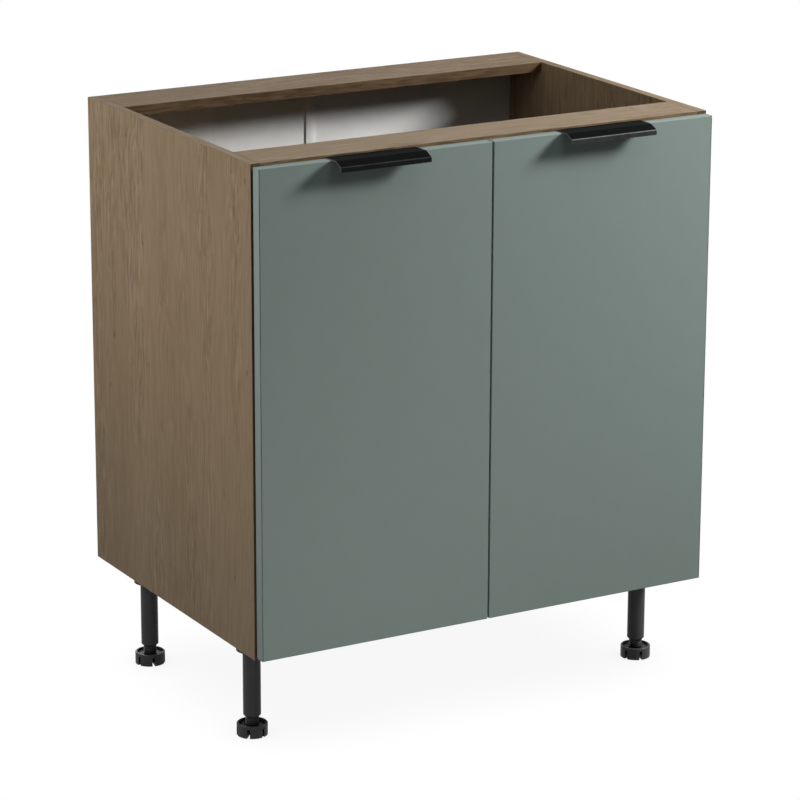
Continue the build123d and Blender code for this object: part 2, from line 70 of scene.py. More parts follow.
camera = bpy.data.objects.new("camera", bpy.data.cameras.new("camera"))
bpy.context.scene.collection.objects.link(camera)
bpy.context.scene.camera = camera
camera.data.lens = camera.data.sensor_width * focal_pixels / image_pixels
camera.location = camera_place
camera.rotation_mode = "QUATERNION"
camera.rotation_quaternion = (
    camera_forward.to_track_quat("-Z", "Y") @ Quaternion((0, 0, 1), camera_roll)
)
print("lens in mm:", round(camera.data.lens, 1))

# %% [markdown]
# ## Small helpers for node trees
# A finish is a tree of shader nodes. Eight short helpers keep the trees readable: one puts
# a node in place and fills its sockets, the others do sums, scale a vector, compare two
# directions, pick one axis, blend colours, stretch a range and make noise. A socket is
# filled with a number, or with another node's output.

# %% Helpers that place nodes
def put(tree, kind, inputs=None, **settings):
    """Add a node with its settings, and fill its sockets from numbers or other sockets."""
    node = tree.nodes.new(kind)
    for name, value in settings.items():
        setattr(node, name, value)
    for key, value in (inputs or {}).items():
        if isinstance(value, bpy.types.NodeSocket):
            tree.links.new(value, node.inputs[key])
        else:
            node.inputs[key].default_value = value
    return node


def sums(tree, operation, first, second=0.0, clamp=False):
    settings = {"operation": operation, "use_clamp": clamp}
    return put(tree, "ShaderNodeMath", {0: first, 1: second}, **settings).outputs[0]


def scaled(tree, vector, factors):
    return put(tree, "ShaderNodeVectorMath", {0: vector, 1: factors}, operation="MULTIPLY").outputs[0]


def alike(tree, first, second):
    """1 where two directions are the same, 0 where they are square to each other."""
    product = put(tree, "ShaderNodeVectorMath", {0: first, 1: second}, operation="DOT_PRODUCT")
    return product.outputs["Value"]


def part_along(tree, vector, axis):
    return put(tree, "ShaderNodeSeparateXYZ", {0: vector}).outputs[axis]


def blend(tree, share, first, second, kind="MIX"):
    inputs = {0: share, 6: first, 7: second}
    return put(tree, "ShaderNodeMix", inputs, data_type="RGBA", blend_type=kind).outputs[2]


def spread(tree, value, low, high, to_low=0.0, to_high=1.0):
    inputs = {"Value": value, "From Min": low, "From Max": high, "To Min": to_low, "To Max": to_high}
    return put(tree, "ShaderNodeMapRange", inputs).outputs[0]


def noise(tree, place, scale, detail=2.0, roughness=0.5, distortion=0.0):
    inputs = {
        "Vector": place, "Scale": scale, "Detail": detail,
        "Roughness": roughness, "Distortion": distortion,
    }
    return put(tree, "ShaderNodeTexNoise", inputs).outputs["Fac"]


print("node helpers: put, sums, scaled, alike, part_along, blend, spread, noise")

# %% Helpers for groups and finishes
NUMBER, COLOUR, VECTOR = "NodeSocketFloat", "NodeSocketColor", "NodeSocketVector"


def new_group(name, inputs, outputs):
    """Start a shader node group with named sockets: its tree, its inputs and its outputs."""
    tree = bpy.data.node_groups.new(name, "ShaderNodeTree")
    for label, kind in inputs.items():
        tree.interface.new_socket(label, in_out="INPUT", socket_type=kind)
    for label, kind in outputs.items():
        tree.interface.new_socket(label, in_out="OUTPUT", socket_type=kind)
    return tree, tree.nodes.new("NodeGroupInput").outputs, tree.nodes.new("NodeGroupOutput").inputs


def use(tree, group, inputs):
    return put(tree, "ShaderNodeGroup", inputs, node_tree=group).outputs


def new_finish(name, plain):
    """Start a material: its tree, and its shader with the values that are the same all over."""
    material = bpy.data.materials.new(name)
    material.use_nodes = True
    shader = material.node_tree.nodes["Principled BSDF"]
    for socket, value in plain.items():
        shader.inputs[socket].default_value = value
    return material, material.node_tree, shader


def feed(tree, shader, **sockets):
    for name, value in sockets.items():
        tree.links.new(value, shader.inputs[name.replace("_", " ").title()])


def relief(tree, height, depth):
    """A bump of the given depth in metres."""
    inputs = {"Height": height, "Distance": depth, "Strength": 1.0}
    return put(tree, "ShaderNodeBump", inputs).outputs["Normal"]


def object_place(tree):
    return put(tree, "ShaderNodeTexCoord").outputs["Object"]


def face_normal(tree):
    return put(tree, "ShaderNodeTexCoord").outputs["Normal"]


print("finish helpers: new_group, use, new_finish, feed, relief, object_place, face_normal")

# %% [markdown]
# ## Floor, backdrop and light
# The photograph has a plain white ground. A very large floor gives that from every side.
# To the camera and to reflections it glows white, and is darkened only by the shadow that
# the cabinet keeps out of the open sky above it, which the Ambient Occlusion node measures.
# For light that bounces back up it is an ordinary floor, so that the cabinet's own colours
# aren't lifted. The world does the same behind it.

# %% White floor and world
def seen_directly(tree):
    """1 for rays from the camera, from gloss and through clear stuff, 0 for bounced light."""
    rays = put(tree, "ShaderNodeLightPath").outputs
    shown = sums(tree, "MAXIMUM", rays["Is Camera Ray"], rays["Is Glossy Ray"])
    return sums(tree, "MAXIMUM", shown, rays["Is Transmission Ray"])


floor_half = 60.0
shadow_reach, shadow_light, fully_open = 0.25, 0.84, 0.75
floor_bounce_colour = (0.13, 0.13, 0.127, 1)
floor_mesh = bpy.data.meshes.new("floor")
corner_signs = ((-1, -1), (1, -1), (1, 1), (-1, 1))
floor_corners = [(x * floor_half, y * floor_half, 0) for x, y in corner_signs]
floor_mesh.from_pydata(floor_corners, [], [(0, 1, 2, 3)])
floor = bpy.data.objects.new("floor", floor_mesh)
bpy.context.scene.collection.objects.link(floor)

floor_paint = bpy.data.materials.new("floor_white")
floor_paint.use_nodes = True
tree = floor_paint.node_tree
tree.nodes.clear()
open_sky = put(tree, "ShaderNodeAmbientOcclusion", {"Distance": shadow_reach}, samples=16)
brightness = spread(tree, open_sky.outputs["AO"], 0.0, fully_open, shadow_light, 1.0)
shown = put(tree, "ShaderNodeEmission", {"Color": (1, 1, 1, 1), "Strength": brightness}).outputs[0]
bounce = put(tree, "ShaderNodeBsdfDiffuse", {"Color": floor_bounce_colour}).outputs[0]
mixed = put(tree, "ShaderNodeMixShader", {0: seen_directly(tree), 1: bounce, 2: shown}).outputs[0]
put(tree, "ShaderNodeOutputMaterial", {"Surface": mixed})
floor_mesh.materials.append(floor_paint)

ambient = 0.07
world = bpy.data.worlds.new("white_room")
bpy.context.scene.world = world
world.use_nodes = True
tree = world.node_tree
tree.nodes.clear()
strength = spread(tree, seen_directly(tree), 0.0, 1.0, ambient, 1.0)
sky = put(tree, "ShaderNodeBackground", {"Color": (1, 1, 1, 1), "Strength": strength}).outputs[0]
put(tree, "ShaderNodeOutputWorld", {"Surface": sky})
bpy.context.scene.view_settings.view_transform = "Standard"
print("floor and world ready")

# %% [markdown]
# ## Five soft lamps
# The handles throw their shadows to the left and downwards, so the main lamp stands at
# the right, near the cabinet, which also makes the right door brighter than the left one.
# A lamp on the left, level with the top, lights the side panel from its upper edge down
# and leaves the inside dark. A low one in front lifts the foot of the doors, a weak one
# above the front lifts the rails, and one behind shows the back to the views from there.

# %% Place the lamps
def soft_lamp(name, place, target, size, watts, fan=180):
    lamp = bpy.data.objects.new(name, bpy.data.lights.new(name, "AREA"))
    lamp.data.shape = "SQUARE"
    lamp.data.size = size
    lamp.data.energy = watts
    lamp.data.spread = radians(fan)
    lamp.location = place
    lamp.rotation_euler = (Vector(target) - Vector(place)).to_track_quat("-Z", "Y").to_euler()
    bpy.context.scene.collection.objects.link(lamp)


soft_lamp("lamp_right", (1.9, -1.2, 1.95), (0.0, -0.28, 0.6), size=0.6, watts=109)
soft_lamp("lamp_left", (-1.42, 0.12, 1.04), (-0.4, 0.03, 1.0), size=0.8, watts=12.8)
soft_lamp("lamp_low", (-0.5, -1.3, 0.12), (-0.25, -0.28, 0.1), size=0.6, watts=1.5, fan=100)
soft_lamp("lamp_above", (0.2, -1.2, 2.8), (0, -0.25, 0.9), size=1.0, watts=9)
soft_lamp("lamp_back", (0.0, 1.95, 0.5), (0.0, 0.3, 0.5), size=0.8, watts=19)

# %% [markdown]
# ## Shared effect: worn edges
# On every finish the corners catch knocks and hands first. The Bevel node gives the
# normal that a rounded edge would have. Where it leans away from the face's own normal
# there is an edge, and a noise breaks the line up, so that the wear isn't even.

# %% Build the edge wear group
edge_wear, given, result = new_group(
    "edge_wear", {"Place": VECTOR, "Radius": NUMBER, "Amount": NUMBER}, {"Mask": NUMBER}
)
rounded = put(edge_wear, "ShaderNodeBevel", {"Radius": given["Radius"]}, samples=4).outputs[0]
flat = put(edge_wear, "ShaderNodeNewGeometry").outputs["Normal"]
edge_begins, edge_is_full = 0.99, 0.75
edge = spread(edge_wear, alike(edge_wear, rounded, flat), edge_begins, edge_is_full)
patches = noise(edge_wear, given["Place"], scale=60.0, detail=4.0, roughness=0.65)
patches = spread(edge_wear, patches, 0.38, 0.68)
mask = sums(edge_wear, "MULTIPLY", edge, patches)
edge_wear.links.new(sums(edge_wear, "MULTIPLY", mask, given["Amount"]), result["Mask"])
print("edge_wear:", len(edge_wear.nodes), "nodes")

# %% [markdown]
# ## Shared effect: wood grain
# Oak laminate is a print of oak. Most of it is calm, and bundles of short strokes run up
# through it, with dark dashes, a few specks and very fine fibres. Stretching the place
# vector along one axis turns round noise into streaks, and each kind of mark has a stretch
# of its own. The place is first pushed sideways by a slow noise, and a little more by a
# finer ripple, so that the strokes lean and meet in points, like the flames of a flat-sawn
# board. Another slow noise gathers them into bundles. The group takes the grain along Z,
# and each material turns its own grain to that axis first.

# %% Build the grain group
board_grain, given, result = new_group(
    "board_grain",
    {
        "Place": VECTOR, "Light": COLOUR, "Dark": COLOUR, "Pore": COLOUR,
        "Figure": NUMBER, "Pores": NUMBER,
    },
    {"Colour": COLOUR, "Height": NUMBER, "Tone": NUMBER},
)


def streaks(place, scale, stretch, detail=2.0, roughness=0.5):
    """Noise of the given scale, drawn out along Z by the given stretch."""
    drawn_out = scaled(board_grain, place, (1, 1, 1 / stretch))
    return noise(board_grain, drawn_out, scale, detail, roughness)


def weighted(value, weight, low=0.3, high=0.7):
    """A value between low and high turned into a share from minus to plus half the weight."""
    return spread(board_grain, value, low, high, -weight / 2, weight / 2)


def pushed(place, reach, scale, stretch):
    """The place moved sideways by a slow noise, up to half the reach in metres each way."""
    push = weighted(streaks(straight, scale, stretch), reach, 0.0, 1.0)
    sideways = put(board_grain, "ShaderNodeCombineXYZ", {0: push, 1: push}).outputs[0]
    return put(board_grain, "ShaderNodeVectorMath", {0: place, 1: sideways}).outputs[0]


straight = given["Place"]
leaning = pushed(straight, reach=0.030, scale=7.0, stretch=2.0)
wavy = pushed(leaning, reach=0.008, scale=34.0, stretch=3.0)
print("places: straight, leaning and wavy")

# %% Draw the marks of the grain
bundles = streaks(straight, scale=17.0, stretch=11.0, detail=1.0, roughness=0.4)
bundles = spread(board_grain, bundles, 0.43, 0.62, 0.12, 1.0)
drift = weighted(streaks(straight, scale=7.0, stretch=5.0), 0.26)
broad = weighted(streaks(wavy, scale=105.0, stretch=19.0, detail=3.0, roughness=0.65), 0.55)
short = weighted(streaks(wavy, scale=230.0, stretch=10.0, roughness=0.55), 1.15)
strokes = sums(board_grain, "MULTIPLY", sums(board_grain, "ADD", broad, short), bundles)
strokes = sums(board_grain, "MULTIPLY", strokes, given["Figure"])
fibres = streaks(leaning, scale=290.0, stretch=36.0, detail=3.0, roughness=0.7)
fine = weighted(streaks(straight, scale=800.0, stretch=44.0, roughness=0.6), 0.3)
tone = sums(board_grain, "ADD", drift, strokes)
tone = sums(board_grain, "ADD", tone, weighted(fibres, 0.58))
tone = sums(board_grain, "ADD", tone, fine)
tone = sums(board_grain, "ADD", tone, 0.5, clamp=True)

dashes = spread(board_grain, streaks(wavy, scale=380.0, stretch=15.0, roughness=0.6), 0.58, 0.68)
specks = spread(board_grain, streaks(straight, scale=48.0, stretch=2.0), 0.735, 0.79)
pores = sums(board_grain, "MAXIMUM", sums(board_grain, "MULTIPLY", dashes, bundles), specks)
pores = sums(board_grain, "MULTIPLY", pores, given["Pores"])
colour = blend(board_grain, tone, given["Light"], given["Dark"])
colour = blend(board_grain, pores, colour, given["Pore"])
height = sums(board_grain, "SUBTRACT", spread(board_grain, fibres, 0.3, 0.7, 0.5, 0.8), pores)
for output, value in {"Colour": colour, "Height": height, "Tone": tone}.items():
    board_grain.links.new(value, result[output])
print("board_grain:", len(board_grain.nodes), "nodes")

# %% [markdown]
# ## Shared effect: fine pebble, hand marks and drawn metal
# Painted, coated and moulded surfaces share a very fine pebble. Hands and cloths leave
# faint patches that are a little shinier or duller than the rest. Plated steel shows the
# lines of the rollers that drew it. Each is a small group of its own.

# %% Build the three surface groups
pebble, given, result = new_group(
    "pebble", {"Place": VECTOR, "Scale": NUMBER}, {"Height": NUMBER, "Mottle": NUMBER}
)
finer = 1.7
cells = {"Vector": given["Place"], "Scale": given["Scale"]}
cells = put(pebble, "ShaderNodeTexVoronoi", cells, feature="SMOOTH_F1").outputs["Distance"]
fine_scale = sums(pebble, "MULTIPLY", given["Scale"], finer)
fine = noise(pebble, given["Place"], fine_scale, detail=3.0, roughness=0.6)
mottle = noise(pebble, given["Place"], scale=35.0, detail=4.0, roughness=0.6)
pebble.links.new(sums(pebble, "ADD", cells, fine), result["Height"])
pebble.links.new(mottle, result["Mottle"])

hand_marks, given, result = new_group(
    "hand_marks", {"Place": VECTOR}, {"Mask": NUMBER, "Streaks": NUMBER}
)
wipe_length = 0.12
cloud = noise(hand_marks, given["Place"], scale=7.0, detail=5.0, roughness=0.62, distortion=0.6)
wiped = scaled(hand_marks, given["Place"], (1, 1, wipe_length))
wiped = noise(hand_marks, wiped, scale=55.0, detail=3.0, roughness=0.6)
hand_marks.links.new(spread(hand_marks, cloud, 0.42, 0.70), result["Mask"])
hand_marks.links.new(spread(hand_marks, wiped, 0.35, 0.7), result["Streaks"])

drawn_metal, given, result = new_group(
    "drawn_metal", {"Place": VECTOR}, {"Height": NUMBER, "Tone": NUMBER}
)
line_length = 0.03
lines = scaled(drawn_metal, given["Place"], (1, line_length, 1))
lines = noise(drawn_metal, lines, scale=2600.0, detail=3.0, roughness=0.7)
cloud = noise(drawn_metal, given["Place"], scale=160.0, detail=4.0, roughness=0.65)
drawn_metal.links.new(lines, result["Height"])
drawn_metal.links.new(cloud, result["Tone"])
print("groups:", sorted(g.name for g in bpy.data.node_groups))

# %% [markdown]
# ## Oak laminate
# The side panels have their grain upright, and the rails, shelf and bottom along their
# length, as a factory cuts them. One function makes all three finishes: it turns the grain
# axis to Z. On the narrow top and bottom edges of a side panel the edge band runs along the
# edge, so there the place vector is turned once more, by looking at the face's normal. The
# front and back edges have a stronger figure and are painted darker as shade, most on the
# side panels and the back rail. The boards also carry painted light: the front rail, shelf
# and bottom a lighter, greyer painted sheen, and the back rail a darker painted shade.

# %% Make the three oak finishes
oak_light = (0.247, 0.178, 0.110, 1)
oak_dark = (0.147, 0.101, 0.057, 1)
oak_pore = (0.060, 0.040, 0.024, 1)
oak_worn = (0.33, 0.25, 0.18, 1)
# Painted shade for the front and back edges: deep on the side panels and back rail, mild on the other
# boards.
deep_edge_shade, mild_edge_shade = (0.42, 0.39, 0.36, 1), (0.60, 0.57, 0.54, 1)
# Painted light on whole boards: a lighter, greyer sheen on the front rail, shelf and bottom, and shade on
# the back rail.
untinted, painted_sheen_tint, painted_shade_tint = (1, 1, 1, 1), (1.06, 1.09, 1.14, 1), (0.92, 0.89, 0.87, 1)
face_figure, band_figure = 0.75, 1.6
oak_relief = 0.00006


def turned_place(tree, order):
    """The object's place with its axes put in another order, such as "zyx"."""
    parts = put(tree, "ShaderNodeSeparateXYZ", {0: object_place(tree)}).outputs
    reordered = {i: parts[axis.upper()] for i, axis in enumerate(order)}
    return put(tree, "ShaderNodeCombineXYZ", reordered).outputs[0]


def facing(tree, axis):
    """1 on faces that look along the axis, either way, and 0 on the others."""
    part = part_along(tree, face_normal(tree), axis)
    return sums(tree, "GREATER_THAN", sums(tree, "ABSOLUTE", part), 0.7)


def oak_finish(name, along, across, across_faces, band, light_tint):
    """Oak with its grain in one order of axes, and in another on faces that look along an axis."""
    material, tree, shader = new_finish(name, {"Specular IOR Level": 0.04, "IOR": 1.5})
    places = {0: facing(tree, across_faces), 4: turned_place(tree, along), 5: turned_place(tree, across)}
    place = put(tree, "ShaderNodeMix", places, data_type="VECTOR", factor_mode="UNIFORM").outputs[1]
    front_back_edges = facing(tree, "Y")
    # The tint is painted light, multiplied into the grain colours.
    light, dark = ([a * b for a, b in zip(colour, light_tint)] for colour in (oak_light, oak_dark))
    grain = use(tree, board_grain, {
        "Place": place, "Light": light, "Dark": dark, "Pore": oak_pore,
        "Figure": spread(tree, front_back_edges, 0.0, 1.0, face_figure, band_figure), "Pores": 0.65,
    })
    wear = use(tree, edge_wear, {"Place": place, "Radius": 0.0012, "Amount": 0.35})["Mask"]
    marks = use(tree, hand_marks, {"Place": place})
    # Painted shade: the front and back edges are multiplied darker.
    colour = blend(tree, front_back_edges, grain["Colour"], band, "MULTIPLY")
    colour = blend(tree, wear, colour, oak_worn)
    gloss = spread(tree, grain["Tone"], 0.0, 1.0, 0.40, 0.52)
    gloss = sums(tree, "ADD", gloss, spread(tree, marks["Mask"], 0.0, 1.0, -0.03, 0.05))
    feed(tree, shader, base_color=colour, roughness=gloss)
    feed(tree, shader, normal=relief(tree, grain["Height"], oak_relief))
    return material


oak_upright = oak_finish("oak_upright", "xyz", "xzy", "Z", deep_edge_shade, untinted)
oak_lengthwise = oak_finish("oak_lengthwise", "zyx", "zyx", "X", mild_edge_shade, painted_sheen_tint)
oak_back_rail = oak_finish("oak_back_rail", "zyx", "zyx", "X", deep_edge_shade, painted_shade_tint)
print("oak finishes:", oak_upright.name, oak_lengthwise.name, oak_back_rail.name)

# %% [markdown]
# ## Matt green fronts
# The doors are fibreboard in a matt sage green film: nearly even in colour, with a very
# fine pebble, a soft sheen where cloths have wiped it, and edges a shade lighter.

# %% Make the green finish
green_colour = (0.166, 0.206, 0.190, 1)
green_shade = (0.161, 0.200, 0.184, 1)
green_worn = (0.27, 0.32, 0.30, 1)
green_edge = (0.188, 0.230, 0.213, 1)
green_relief = 0.00001

green_front, tree, shader = new_finish("green_front", {"Specular IOR Level": 0.12, "IOR": 1.5})
place = object_place(tree)
skin = use(tree, pebble, {"Place": place, "Scale": 1500.0})
marks = use(tree, hand_marks, {"Place": place})
wear = use(tree, edge_wear, {"Place": place, "Radius": 0.0010, "Amount": 0.5})["Mask"]
colour = blend(tree, spread(tree, skin["Mottle"], 0.3, 0.7), green_colour, green_shade)
colour = blend(tree, facing(tree, "Y"), green_edge, colour)
colour = blend(tree, wear, colour, green_worn)
gloss = spread(tree, marks["Mask"], 0.0, 1.0, 0.46, 0.40)
gloss = sums(tree, "ADD", gloss, sums(tree, "MULTIPLY", marks["Streaks"], 0.05))
feed(tree, shader, base_color=colour, roughness=gloss, normal=relief(tree, skin["Height"], green_relief))
print("green finish:", len(tree.nodes), "nodes")

# %% [markdown]
# ## Back sheets and joiner
# Hardboard backs are lacquered white on the inside only. The outer face, which goes to
# the wall, and the sawn edges stay raw: brown pressed fibres. The face's normal tells
# them apart.

# %% Make the white board and the white plastic
board_white = (0.66, 0.655, 0.64, 1)
board_white_shade = (0.58, 0.575, 0.56, 1)
hardboard_brown = (0.235, 0.145, 0.080, 1)
hardboard_dark = (0.135, 0.080, 0.042, 1)
board_relief = 0.00005

white_board, tree, shader = new_finish("white_board", {"Specular IOR Level": 0.35, "IOR": 1.5})
place = object_place(tree)
skin = use(tree, pebble, {"Place": place, "Scale": 900.0})
marks = use(tree, hand_marks, {"Place": place})
fibre = noise(tree, place, scale=260.0, detail=6.0, roughness=0.75, distortion=1.2)
raw = blend(tree, spread(tree, fibre, 0.34, 0.66), hardboard_dark, hardboard_brown)
lacquer = blend(tree, marks["Mask"], board_white, board_white_shade)
raw_face = sums(tree, "GREATER_THAN", part_along(tree, face_normal(tree), "Y"), -0.5)
feed(tree, shader, base_color=blend(tree, raw_face, lacquer, raw))
feed(tree, shader, roughness=spread(tree, raw_face, 0.0, 1.0, 0.42, 0.8))
height = sums(tree, "ADD", skin["Height"], sums(tree, "MULTIPLY", fibre, raw_face))
feed(tree, shader, normal=relief(tree, height, board_relief))

plastic_white = (0.70, 0.70, 0.685, 1)
plastic_white_shade = (0.62, 0.62, 0.60, 1)
plastic_relief = 0.00002
white_plastic, tree, shader = new_finish("white_plastic", {"Specular IOR Level": 0.4, "IOR": 1.46})
place = object_place(tree)
skin = use(tree, pebble, {"Place": place, "Scale": 1200.0})
marks = use(tree, hand_marks, {"Place": place})
colour = blend(tree, marks["Streaks"], plastic_white, plastic_white_shade)
gloss = spread(tree, skin["Mottle"], 0.3, 0.7, 0.36, 0.5)
feed(tree, shader, base_color=colour, roughness=gloss, normal=relief(tree, skin["Height"], plastic_relief))
print("white finishes:", white_board.name, white_plastic.name)

# %% [markdown]
# ## Black metal and black plastic
# The handles are aluminium with a matt black coat: a tight pebble, a greyer skin on the two
# sawn ends, and a painted highlight along the nose and lip, stronger on the right handle. The
# legs are moulded plastic: a coarser spark grain, slightly greyer, with scuffs on the edges.
# Their hollows, such as the thread and the dish of a foot, are painted darker as shade where
# the Ambient Occlusion node finds them closed in.

# %% Make the black plastic
def black_finish(name, plain, colour, shade, worn, scale, depth, dull, bright):
    """A black skin: the material, its tree, its shader, and its colour to add to."""
    material, tree, shader = new_finish(name, plain)
    place = object_place(tree)
    skin = use(tree, pebble, {"Place": place, "Scale": scale})
    marks = use(tree, hand_marks, {"Place": place})
    wear = use(tree, edge_wear, {"Place": place, "Radius": 0.0007, "Amount": 0.5})["Mask"]
    mixed = blend(tree, spread(tree, skin["Mottle"], 0.3, 0.7), colour, shade)
    mixed = blend(tree, wear, mixed, worn)
    gloss = spread(tree, marks["Mask"], 0.0, 1.0, dull, bright)
    gloss = sums(tree, "SUBTRACT", gloss, sums(tree, "MULTIPLY", wear, 0.12))
    feed(tree, shader, base_color=mixed, roughness=gloss, normal=relief(tree, skin["Height"], depth))
    return material, tree, shader, mixed


black_plastic, tree, shader, mixed = black_finish(
    "black_plastic", {"Specular IOR Level": 0.14, "IOR": 1.48},
    colour=(0.046, 0.046, 0.047, 1), shade=(0.038, 0.038, 0.0385, 1), worn=(0.080, 0.080, 0.080, 1),
    scale=1400.0, depth=0.00003, dull=0.52, bright=0.42,
)
# Painted shade: the base colour goes dark in the hollows that the Ambient Occlusion node finds closed in.
hollow_reach, hollow_full, hollow_begins = 0.012, 0.55, 0.92
painted_hollow_shade = (0.003, 0.003, 0.003, 1)
air = {"Distance": hollow_reach}
air = put(tree, "ShaderNodeAmbientOcclusion", air, samples=8, only_local=True).outputs["AO"]
unshaded = spread(tree, air, hollow_full, hollow_begins)
feed(tree, shader, base_color=blend(tree, unshaded, painted_hollow_shade, mixed))
print("black plastic:", len(tree.nodes), "nodes")

# %% Make the black metal
black_metal, tree, shader, mixed = black_finish(
    "black_metal", {"Specular IOR Level": 0.003, "IOR": 1.5},
    colour=(0.0058, 0.0063, 0.0062, 1), shade=(0.0046, 0.0050, 0.0050, 1), worn=(0.10, 0.10, 0.10, 1),
    scale=2200.0, depth=0.00002, dull=0.52, bright=0.44,
)
sawn_end = (0.17, 0.17, 0.17, 1)
# Painted highlight: the nose and lip are lighter where the lamp's reflection would fall, more on the right
# handle.
painted_highlight = (0.122, 0.131, 0.128, 1)
nose_normal = (0, -0.7071, 0.7071)
lip_highlight, left_highlight, middle_half = 0.24, 0.25, 0.02
normal = face_normal(tree)
place = object_place(tree)
nose = spread(tree, alike(tree, normal, nose_normal), 0.955, 0.995)
lip = spread(tree, part_along(tree, normal, "Y"), -0.95, -0.995, 0.0, lip_highlight)
highlight_by_side = spread(tree, part_along(tree, place, "X"), -middle_half, middle_half, left_highlight, 1.0)
patchy = noise(tree, place, scale=45.0, detail=3.0, roughness=0.6)
patchy = spread(tree, patchy, 0.3, 0.6, 0.6, 1.0)
highlight_mask = sums(tree, "MULTIPLY", sums(tree, "MAXIMUM", nose, lip), highlight_by_side)
highlight_mask = sums(tree, "MULTIPLY", highlight_mask, patchy)
mixed = blend(tree, highlight_mask, mixed, painted_highlight)
feed(tree, shader, base_color=blend(tree, facing(tree, "X"), mixed, sawn_end))
print("black metal:", len(tree.nodes), "nodes")

# %% [markdown]
# ## Plated steel, cast zinc, beech and rubber
# The hinges are nickel plated, warm and fairly bright. Screws and pins are zinc plated,
# cooler and duller. Cam housings are cast zinc with a grainy skin. Dowels are beech, and
# the bumpers are clear soft rubber.

# %% Make the metal finishes
bright_edge = (0.82, 0.81, 0.79, 1)


def plated_finish(name, colour, shade, dull, bright, depth):
    material, tree, shader = new_finish(name, {"Metallic": 1.0})
    place = object_place(tree)
    lines = use(tree, drawn_metal, {"Place": place})
    wear = use(tree, edge_wear, {"Place": place, "Radius": 0.0004, "Amount": 0.5})["Mask"]
    mixed = blend(tree, spread(tree, lines["Tone"], 0.3, 0.7), colour, shade)
    gloss = spread(tree, lines["Tone"], 0.3, 0.7, dull, bright)
    feed(tree, shader, base_color=blend(tree, wear, mixed, bright_edge), roughness=gloss)
    feed(tree, shader, normal=relief(tree, lines["Height"], depth))
    return material


nickel_steel = plated_finish(
    "nickel_steel", colour=(0.60, 0.575, 0.53, 1), shade=(0.50, 0.475, 0.435, 1),
    dull=0.24, bright=0.36, depth=0.000004,
)
plated_steel = plated_finish(
    "plated_steel", colour=(0.56, 0.57, 0.58, 1), shade=(0.43, 0.44, 0.46, 1),
    dull=0.30, bright=0.44, depth=0.000006,
)
zinc = plated_finish(
    "zinc", colour=(0.46, 0.46, 0.47, 1), shade=(0.33, 0.33, 0.34, 1),
    dull=0.42, bright=0.58, depth=0.00002,
)
print("metal finishes:", nickel_steel.name, plated_steel.name, zinc.name)

# %% Make the beech and the rubber
beech_light, beech_dark, beech_pore = (0.58, 0.41, 0.25, 1), (0.44, 0.29, 0.16, 1), (0.22, 0.12, 0.06, 1)
beech_relief = 0.00008
beech, tree, shader = new_finish("beech", {"Specular IOR Level": 0.3})
grain = use(tree, board_grain, {
    "Place": turned_place(tree, "zyx"), "Light": beech_light, "Dark": beech_dark, "Pore": beech_pore,
    "Figure": 0.4, "Pores": 0.5,
})
feed(tree, shader, base_color=grain["Colour"], roughness=spread(tree, grain["Tone"], 0.0, 1.0, 0.5, 0.7))
feed(tree, shader, normal=relief(tree, grain["Height"], beech_relief))

rubber_light, rubber_shade = (0.72, 0.72, 0.70, 1), (0.62, 0.62, 0.60, 1)
clear_rubber, tree, shader = new_finish(
    "clear_rubber", {"Transmission Weight": 0.55, "IOR": 1.45, "Specular IOR Level": 0.4}
)
skin = use(tree, pebble, {"Place": object_place(tree), "Scale": 700.0})
colour = blend(tree, spread(tree, skin["Mottle"], 0.3, 0.7), rubber_light, rubber_shade)
feed(tree, shader, base_color=colour, roughness=spread(tree, skin["Mottle"], 0.3, 0.7, 0.22, 0.4))
feed(tree, shader, normal=relief(tree, skin["Height"], plastic_relief))
print("materials:", len(bpy.data.materials))

# %% [markdown]
# ## Dress the CAD nodes
# Each CAD node already names its material slot in the record. One table leads from slots
# to finishes. Only the oak needs a closer look, for the way its grain runs.

# %% Give every CAD node its finish
finishes = {
    "white_board": white_board, "white_plastic": white_plastic, "green_front": green_front,
    "black_metal": black_metal, "black_plastic": black_plastic, "nickel_steel": nickel_steel,
    "plated_steel": plated_steel, "zinc": zinc, "beech": beech, "clear_rubber": clear_rubber,
}
slot_of = {part["node"]: part["material_slot"] for part in frame["record"]["subparts"]}


def finish_of(node):
    if slot_of[node] == "oak_laminate":
        if "side_panel" in node:
            return oak_upright
        return oak_back_rail if node == "back_rail" else oak_lengthwise
    return finishes[slot_of[node]]


for node, thing in frame["nodes"].items():
    thing.data.materials.clear()
    thing.data.materials.append(finish_of(node))
print("dressed:", len(frame["nodes"]), "nodes")

# %% [markdown]
# ## Eased edges
# No real board or sheet has a knife edge: the edge band is scraped, the metal is
# tumbled. The CAD keeps plain edges, so each visible piece gets a copy whose sharp edges
# are bevelled by a fraction of a millimetre. The copy is welded and its flat faces are
# merged first, since a bevel needs clean faces. It replaces its node and rides in its place.

# %% Helpers that copy a node and show a piece
bodies = frame["record"]["behaviour"]["bodies"]
body_of_node = {node: body for body, nodes in bodies.items() for node in nodes}
weld_distance = 0.000002
flat_enough = radians(0.4)
smooth_below = radians(50)


def welded(node):
    """A copy of a node's mesh to work on, with its seams closed and its flat faces merged."""
    solid = bmesh.new()
    solid.from_mesh(frame["nodes"][node].data)
    bmesh.ops.remove_doubles(solid, verts=solid.verts, dist=weld_distance)
    bmesh.ops.dissolve_limit(solid, angle_limit=flat_enough, verts=solid.verts, edges=solid.edges)
    return solid


def ease(solid, width, shortest=0.0, corner=40, sharpest=180, segments=2):
    """Bevel the edges with a corner between the two angles, no shorter than the given length."""
    long_enough = [e for e in solid.edges if e.is_manifold and e.calc_length() >= shortest]
    sharp = [e for e in long_enough if radians(corner) < e.calc_face_angle() <= radians(sharpest)]
    bmesh.ops.bevel(
        solid, geom=sharp, offset=width, offset_type="OFFSET", segments=segments, profile=0.5,
        affect="EDGES", clamp_overlap=True,
    )


